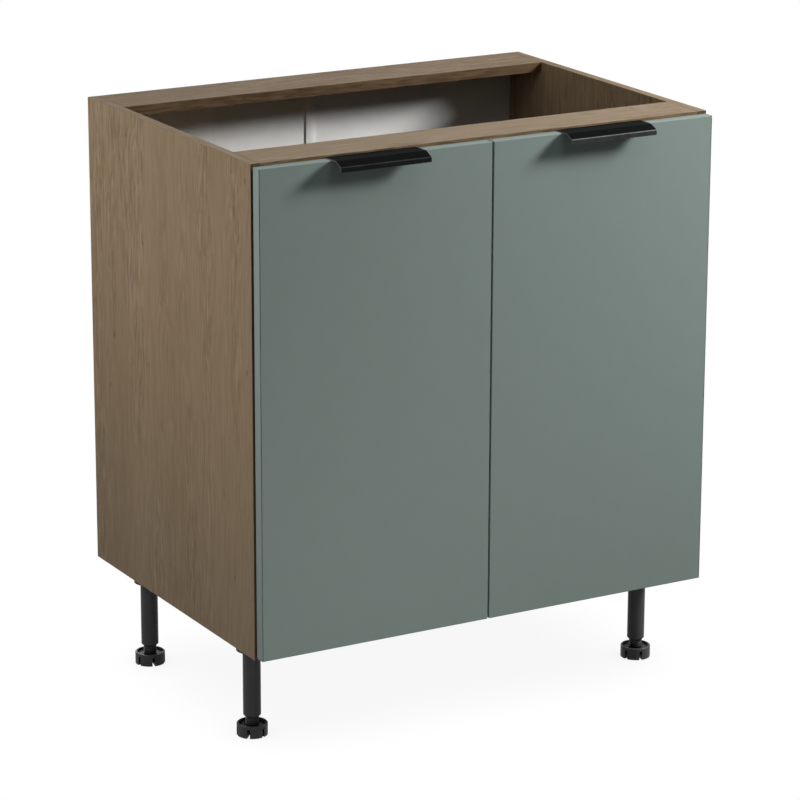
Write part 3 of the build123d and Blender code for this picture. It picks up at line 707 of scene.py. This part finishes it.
def show(solid, name, body, finish):
    """Turn a worked mesh into a piece that rides on a body and has a finish."""
    mesh = bpy.data.meshes.new(name)
    solid.to_mesh(mesh)
    solid.free()
    for layer in ("custom_normal", "sharp_face", "sharp_edge"):
        if layer in mesh.attributes:
            mesh.attributes.remove(mesh.attributes[layer])
    mesh.shade_smooth()
    mesh.set_sharp_from_angle(angle=smooth_below)
    mesh.materials.clear()
    mesh.materials.append(finish)
    piece = bpy.data.objects.new(name, mesh)
    bpy.context.scene.collection.objects.link(piece)
    piece.modifiers.new("even_shading", "WEIGHTED_NORMAL").keep_sharp = True
    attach(piece, body)
    return piece


def stand_in(solid, node, ending):
    """Show a worked mesh in the place of a CAD node, with the node's body and finish."""
    piece = show(solid, f"{node}.{ending}", body_of_node[node], finish_of(node))
    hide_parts(node)
    return piece


# %% Ease boards, legs and hinges
# ending of the node's name: width of the eased edge, shortest edge, least corner in degrees
board_edge, hinge_edge = (0.0005, 0.005, 40), (0.0003, 0.0, 40)
edge_kinds = {
    "side_panel": board_edge, "bottom_panel": board_edge, "rail": board_edge, "shelf": board_edge,
    "leg_tube": (0.0005, 0.0, 30), "leg_socket": (0.0008, 0.0, 40), "_link": (0.0002, 0.0, 40),
    "hinge_plate": hinge_edge, "hinge_arm": hinge_edge, "hinge_cup": hinge_edge,
}
made = []
for node in frame["nodes"]:
    for ending, (width, shortest, corner) in edge_kinds.items():
        if node.endswith(ending):
            solid = welded(node)
            ease(solid, width, shortest, corner)
            made.append(stand_in(solid, node, "eased"))
print("eased:", len(made), "pieces,", sum(len(piece.data.polygons) for piece in made), "faces")

# %% [markdown]
# ## Edge pulls
# Each handle is one strip of aluminium with three bends, and the photograph shows a bright
# line along the outermost bend. A bend has a real radius, so here the blunt corners get a
# wide round first and the sawn edges a narrow one after it.

# %% Round the handles
bend_radius, bend_shortest, bend_bluntest, bend_sharpest, bend_segments = 0.0016, 0.02, 12, 62, 5
sawn_edge = 0.0003
for node in ("left_handle", "right_handle"):
    solid = welded(node)
    ease(solid, bend_radius, bend_shortest, bend_bluntest, bend_sharpest, bend_segments)
    ease(solid, sawn_edge, corner=bend_sharpest)
    piece = stand_in(solid, node, "rounded")
    print(piece.name, len(piece.data.polygons), "faces")

# %% [markdown]
# ## Doors with an edge band seam
# A film-covered door has its hinge edge closed by a band, and the photograph shows the
# joint as a thin dark line beside the outer corner. A painted line would stay flat, so the
# seam is a real groove: four cuts mark a narrow strip on the front, which is pushed in.
# It is done after the bevel, because a bevel would close such a narrow groove.

# %% Model the two doors
door_edge, door_shortest, door_corner = 0.0005, 0.005, 60
seam_from_edge, seam_width, seam_depth = 0.0006, 0.0010, 0.0014
seam_from_end = 0.0012


def push_in(solid, low, high, front, depth):
    """Cut a strip of the front face, from low to high in x and z, and sink it."""
    for along, normal in ((0, (1, 0, 0)), (2, (0, 0, 1))):
        for corner in (low, high):
            point = [0, 0, 0]
            point[along] = corner[0] if along == 0 else corner[1]
            geometry = solid.verts[:] + solid.edges[:] + solid.faces[:]
            bmesh.ops.bisect_plane(solid, geom=geometry, plane_co=point, plane_no=normal)
    strip = []
    for face in solid.faces:
        middle = face.calc_center_median()
        inside = low[0] < middle.x < high[0] and low[1] < middle.z < high[1]
        if inside and face.normal.y < -0.99 and abs(middle.y - front) < weld_distance:
            strip.append(face)
    bmesh.ops.inset_region(solid, faces=strip, thickness=0.0, depth=-depth)


for node in ("left_door", "right_door"):
    low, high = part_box(node)
    solid = welded(node)
    ease(solid, door_edge, door_shortest, door_corner)
    seam_ends = (low.z + seam_from_end, high.z - seam_from_end)
    outwards = -1 if node == "left_door" else 1
    outer = low.x if outwards < 0 else high.x
    seam = sorted(outer - outwards * reach for reach in (seam_from_edge, seam_from_edge + seam_width))
    push_in(solid, (seam[0], seam_ends[0]), (seam[1], seam_ends[1]), low.y, seam_depth)
    piece = stand_in(solid, node, "banded")
    print(piece.name, len(piece.data.polygons), "faces")

# %% [markdown]
# ## Screws with a cross for the driver
# The CAD screws are plain heads on plain shanks. Real ones have a rounded rim and a cross
# stamped into the top. A screw is a turned part, so its outline is put round the axis in
# rings. The cross is left open when the top is filled, and becomes a tapered pocket. Each
# CAD screw gives its own place and size, read from the box of its solid.

# %% Helpers for turned parts
cross_arm, cross_taper = 0.24, 0.6


def ring(solid, radius, height, count):
    turns = [i * (2 * pi / count) for i in range(count)]
    return [solid.verts.new((radius * cos(q), radius * sin(q), height)) for q in turns]


def bridge(solid, lower, upper):
    for i in range(len(lower)):
        j = (i + 1) % len(lower)
        solid.faces.new((lower[i], lower[j], upper[j], upper[i]))


def turned(solid, outline, count):
    """Rings round Z for each radius and height of an outline, closed below. Gives the last ring."""
    rings = [ring(solid, radius, height, count) for radius, height in outline]
    solid.faces.new(reversed(rings[0]))
    for lower, upper in zip(rings, rings[1:]):
        bridge(solid, lower, upper)
    return rings[-1]


def sink_cross(solid, rim, reach, depth):
    """Fill the top of a head round a cross, and sink the cross as a tapered pocket."""
    half = cross_arm * reach
    height = rim[0].co.z
    corners = []
    for quarter in range(4):
        c, s = cos(quarter * pi / 2), sin(quarter * pi / 2)
        for x, y in ((reach, half), (half, half), (half, reach)):
            corners.append((x * c - y * s, x * s + y * c))
    mouth = [solid.verts.new((x, y, height)) for x, y in corners]
    floor_loop = [solid.verts.new((cross_taper * x, cross_taper * y, height - depth)) for x, y in corners]
    loops = []
    for loop in (rim, mouth):
        for a, b in zip(loop, loop[1:] + loop[:1]):
            loops.append(solid.edges.get((a, b)) or solid.edges.new((a, b)))
    bmesh.ops.triangle_fill(solid, edges=loops, use_beauty=True, normal=(0, 0, 1))
    bridge(solid, mouth, floor_loop)
    solid.faces.new(floor_loop)


def solid_boxes(node):
    """The box of each separate solid in a node, found by walking along its edges."""
    solid = welded(node)
    waiting, boxes = set(solid.verts), []
    while waiting:
        reached = [waiting.pop()]
        for vertex in reached:
            for edge in vertex.link_edges:
                other = edge.other_vert(vertex)
                if other in waiting:
                    waiting.remove(other)
                    reached.append(other)
        low = Vector(min(v.co[i] for v in reached) for i in range(3))
        high = Vector(max(v.co[i] for v in reached) for i in range(3))
        boxes.append((low, high))
    solid.free()
    return sorted(boxes, key=lambda box: tuple(box[0]))


print("leg socket screws found:", len(solid_boxes("leg_socket_screws")))

# %% Model the screws
screw_sides = 32
cross_turn = radians(37)
cross_reach, cross_depth = 0.56, 0.75


def screw(solid, place, direction, radius, head, shank, length, flush, turn):
    """One screw whose head top is at the place, facing the direction."""
    tip = [(0.3 * shank, -length), (shank, -length + 2 * shank)]
    if flush:
        outline = tip + [(shank, -head), (radius, -0.05 * radius), (0.96 * radius, 0)]
    else:
        outline = tip + [
            (shank, -head), (radius, -head), (radius, -0.7 * head), (0.95 * radius, -0.35 * head),
            (0.84 * radius, -0.1 * head), (0.70 * radius, 0),
        ]
    one = bmesh.new()
    sink_cross(one, turned(one, outline, screw_sides), cross_reach * radius, cross_depth * head)
    bmesh.ops.recalc_face_normals(one, faces=one.faces)
    aim = Vector(direction).to_track_quat("Z", "X") @ Quaternion((0, 0, 1), turn)
    stand = Matrix.Translation(place) @ aim.to_matrix().to_4x4()
    bmesh.ops.transform(one, matrix=stand, verts=one.verts)
    scratch = bpy.data.meshes.new("one_screw")
    one.to_mesh(scratch)
    one.free()
    solid.from_mesh(scratch)
    bpy.data.meshes.remove(scratch)


# ending of the node's name: the screw's axis, height of its head, radius of its shank, sunk flush or not
screw_kinds = {
    "handle_screws": ("y", 0.0013, 0.0016, True),
    "hinge_cup_screws": ("y", 0.0016, 0.00175, False),
    "hinge_plate_screws": ("x", 0.0020, 0.0030, False),
    "leg_socket_screws": ("z", 0.0022, 0.0020, False),
}
for node in frame["nodes"]:
    for ending, (axis, head, shank, flush) in screw_kinds.items():
        if not node.endswith(ending):
            continue
        solid = bmesh.new()
        for i, (low, high) in enumerate(solid_boxes(node)):
            middle, size = (low + high) / 2, high - low
            if axis == "y":
                place, direction = Vector((middle.x, high.y, middle.z)), (0, 1, 0)
            elif axis == "z":
                place, direction = Vector((middle.x, middle.y, low.z)), (0, 0, -1)
            else:
                inner = low.x if middle.x > 0 else high.x
                place, direction = Vector((inner, middle.y, middle.z)), (-middle.x, 0, 0)
            along = "xyz".index(axis)
            radius = max(size[k] for k in range(3) if k != along) / 2
            screw(solid, place, direction, radius, head, shank, size[along], flush, i * cross_turn)
        piece = stand_in(solid, node, "crossed")
        print(piece.name, i + 1, "screws")

# %% [markdown]
# ## The joiner between the back sheets
# A plastic profile holds the two back sheets together. In the CAD it is a plain H. The
# real lips are domed: they thin out towards their edges, so the light picks out one half
# and leaves a dark line along the other. The outline is drawn as points, put in place at
# the bottom and at the top, and the two loops are joined.

# %% Model the joiner
lip_steps, lip_rise, lip_edge_share, web_half = 12, 0.0020, 0.75, 0.0006
low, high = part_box("back_panel_joiner")
sheet_low, sheet_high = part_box("back_panel_left")
lip_half = (high.x - low.x) / 2


def domed_lip(start, root, crown):
    """Points across a lip, from the start side to the other, thin at its edges."""
    shares = [start * (1 - 2 * i / lip_steps) for i in range(lip_steps + 1)]
    edge = root + lip_edge_share * (crown - root)
    return [(share * lip_half, crown + (edge - crown) * share ** 2) for share in shares]


outline = [(-web_half, sheet_low.y), (-lip_half, sheet_low.y)]
outline += domed_lip(-1, sheet_low.y, low.y - lip_rise)
outline += [(lip_half, sheet_low.y), (web_half, sheet_low.y)]
outline += [(web_half, sheet_high.y), (lip_half, sheet_high.y)]
outline += domed_lip(1, sheet_high.y, high.y)
outline += [(-lip_half, sheet_high.y), (-web_half, sheet_high.y)]
solid = bmesh.new()
loops = [[solid.verts.new((x, y, z)) for x, y in outline] for z in (low.z, high.z)]
bridge(solid, *loops)
solid.faces.new(reversed(loops[0]))
solid.faces.new(loops[1])
bmesh.ops.recalc_face_normals(solid, faces=solid.faces)
piece = stand_in(solid, "back_panel_joiner", "domed")
print(piece.name, len(piece.data.polygons), "faces")

# %% [markdown]
# ## Adjusting screws on the hinge arms
# A concealed hinge carries two screws on its arm: the front one shifts the door sideways,
# the rear one moves it in and out. They sit on the arm's web, which the arm's box gives.

# %% Model the adjusting screws
adjuster = {"radius": 0.0031, "head": 0.0010, "shank": 0.0016, "length": 0.0021, "flush": False}
web_reach = 0.0155
adjuster_from_back = (0.011, 0.040)
arms = [node for node in frame["nodes"] if node.endswith("hinge_arm")]
solid = bmesh.new()
for i, node in enumerate(arms):
    low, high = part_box(node)
    inwards = 1 if node.startswith("left") else -1
    side = "left" if inwards > 0 else "right"
    panel_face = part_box(f"{side}_side_panel")[1 if inwards > 0 else 0].x
    head_x = panel_face + inwards * (web_reach + adjuster["head"])
    for k, back in enumerate(adjuster_from_back):
        place = Vector((head_x, high.y - back, (low.z + high.z) / 2))
        screw(solid, place, (inwards, 0, 0), **adjuster, turn=(i + k) * cross_turn)
show(solid, "hinge_adjusters", "carcass", plated_steel)
print("adjusting screws:", len(arms) * len(adjuster_from_back))

# %% [markdown]
# ## Screw-in feet
# Each foot is a slotted disc on a threaded stem. The disc is the CAD foot, cut off at its
# top, dished inside a rim by two insets, with eased edges. The stem is new: one strip of
# faces climbs round the axis by one pitch a turn, so that the thread is a true helix and
# meets itself at the seam.

# %% Model the feet
foot_edge, foot_corner = 0.0006, 30
rim_width, dish_slope, dish_depth = 0.0024, 0.0008, 0.0030
top_skin = 0.00005
thread_pitch, thread_depth, thread_columns = 0.003, 0.0008, 48
# share of the pitch, and whether the row lies in the groove (1) or on the crest (0)
thread_rows = ((0.0, 1), (0.28, 1), (0.45, 0), (0.78, 0))
stem_start_below, stem_turns = 0.0045, 13


def add_thread(solid, middle, crest, start):
    """A helical stem with its thread's crest at the given radius, closed at both ends."""
    columns = []
    for i in range(thread_columns):
        turn = i / thread_columns
        outwards = Vector((cos(2 * pi * turn), sin(2 * pi * turn)))
        column = []
        for k in range(stem_turns):
            for rise, deep in thread_rows:
                x, y = middle.to_2d() + (crest - deep * thread_depth) * outwards
                column.append(solid.verts.new((x, y, start + thread_pitch * (k + rise + turn))))
        columns.append(column)
    faces = []
    for i in range(thread_columns):
        here, there = columns[i], columns[(i + 1) % thread_columns]
        skip = len(thread_rows) if i == thread_columns - 1 else 0
        for k in range(len(here) - 1 - skip):
            faces.append(solid.faces.new((here[k], there[k + skip], there[k + skip + 1], here[k + 1])))
    open_edges = [edge for face in faces for edge in face.edges if edge.is_boundary]
    caps = bmesh.ops.holes_fill(solid, edges=list(set(open_edges)), sides=0)["faces"]
    bmesh.ops.recalc_face_normals(solid, faces=faces + caps)


for node in [name for name in frame["nodes"] if name.endswith("_foot")]:
    low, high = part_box(node)
    middle = (low + high) / 2
    solid = welded(node)
    disc_top = sorted({round(v.co.z, 6) for v in solid.verts})[-2]
    stem_top = [v.co for v in solid.verts if v.co.z > high.z - weld_distance]
    stem_radius = max((spot - middle).to_2d().length for spot in stem_top)
    geometry = solid.verts[:] + solid.edges[:] + solid.faces[:]
    cut = bmesh.ops.bisect_plane(
        solid, geom=geometry, plane_co=(0, 0, disc_top - top_skin), plane_no=(0, 0, 1), clear_outer=True
    )["geom_cut"]
    cut_edges = [part for part in cut if isinstance(part, bmesh.types.BMEdge)]
    top = bmesh.ops.holes_fill(solid, edges=cut_edges, sides=0)["faces"]
    bmesh.ops.inset_region(solid, faces=top, thickness=rim_width)
    bmesh.ops.inset_region(solid, faces=top, thickness=dish_slope, depth=-dish_depth)
    ease(solid, foot_edge, corner=foot_corner)
    add_thread(solid, middle, stem_radius, disc_top - stem_start_below)
    piece = stand_in(solid, node, "threaded")
    print(piece.name, len(piece.data.polygons), "faces, stem radius in mm", round(1000 * stem_radius, 2))

# %% [markdown]
# ## Nails in the back sheets
# The hardboard sheets are nailed to the back edges of the carcass. Each nail head is a low
# turned dome, and a row of them follows the middle of each board's edge.

# %% Nail the back sheets
nail_radius, nail_height, nail_shank, nail_length = 0.0023, 0.0006, 0.0008, 0.012
nail_tip, nail_sides = 0.002, 16
nail_spacing, nail_from_joiner = 0.11, 0.02
nail_outline = [
    (0.2 * nail_shank, -nail_length), (nail_shank, -nail_length + nail_tip), (nail_shank, 0),
    (nail_radius, 0), (0.93 * nail_radius, 0.45 * nail_height), (0.66 * nail_radius, 0.85 * nail_height),
    (0.25 * nail_radius, nail_height),
]


def evenly(start, stop, spacing):
    steps = max(1, round((stop - start) / spacing))
    return [start + (stop - start) * i / steps for i in range(steps + 1)]


def board_middle(node):
    low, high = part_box(node)
    return (low + high) / 2


nail_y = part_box("back_panel_left")[1].y
bottom_z, top_z = board_middle("bottom_panel").z, board_middle("back_rail").z
joiner_low, joiner_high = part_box("back_panel_joiner")
beside_joiner = {"left": joiner_low.x - nail_from_joiner, "right": joiner_high.x + nail_from_joiner}
nail_places = set()
for side, inner_x in beside_joiner.items():
    panel_x = board_middle(f"{side}_side_panel").x
    nail_places |= {(panel_x, z) for z in evenly(bottom_z, top_z, nail_spacing)}
    row = evenly(min(panel_x, inner_x), max(panel_x, inner_x), nail_spacing)
    nail_places |= {(x, z) for z in (bottom_z, top_z) for x in row}
solid = bmesh.new()
for x, z in sorted(nail_places):
    before = len(solid.verts)
    solid.faces.new(turned(solid, nail_outline, nail_sides))
    solid.verts.ensure_lookup_table()
    stand = Matrix.Translation((x, nail_y, z)) @ Matrix.Rotation(radians(-90), 4, "X")
    bmesh.ops.transform(solid, matrix=stand, verts=solid.verts[before:])
bmesh.ops.recalc_face_normals(solid, faces=solid.faces)
show(solid, "back_nails", "carcass", plated_steel)
print("nails:", len(nail_places))
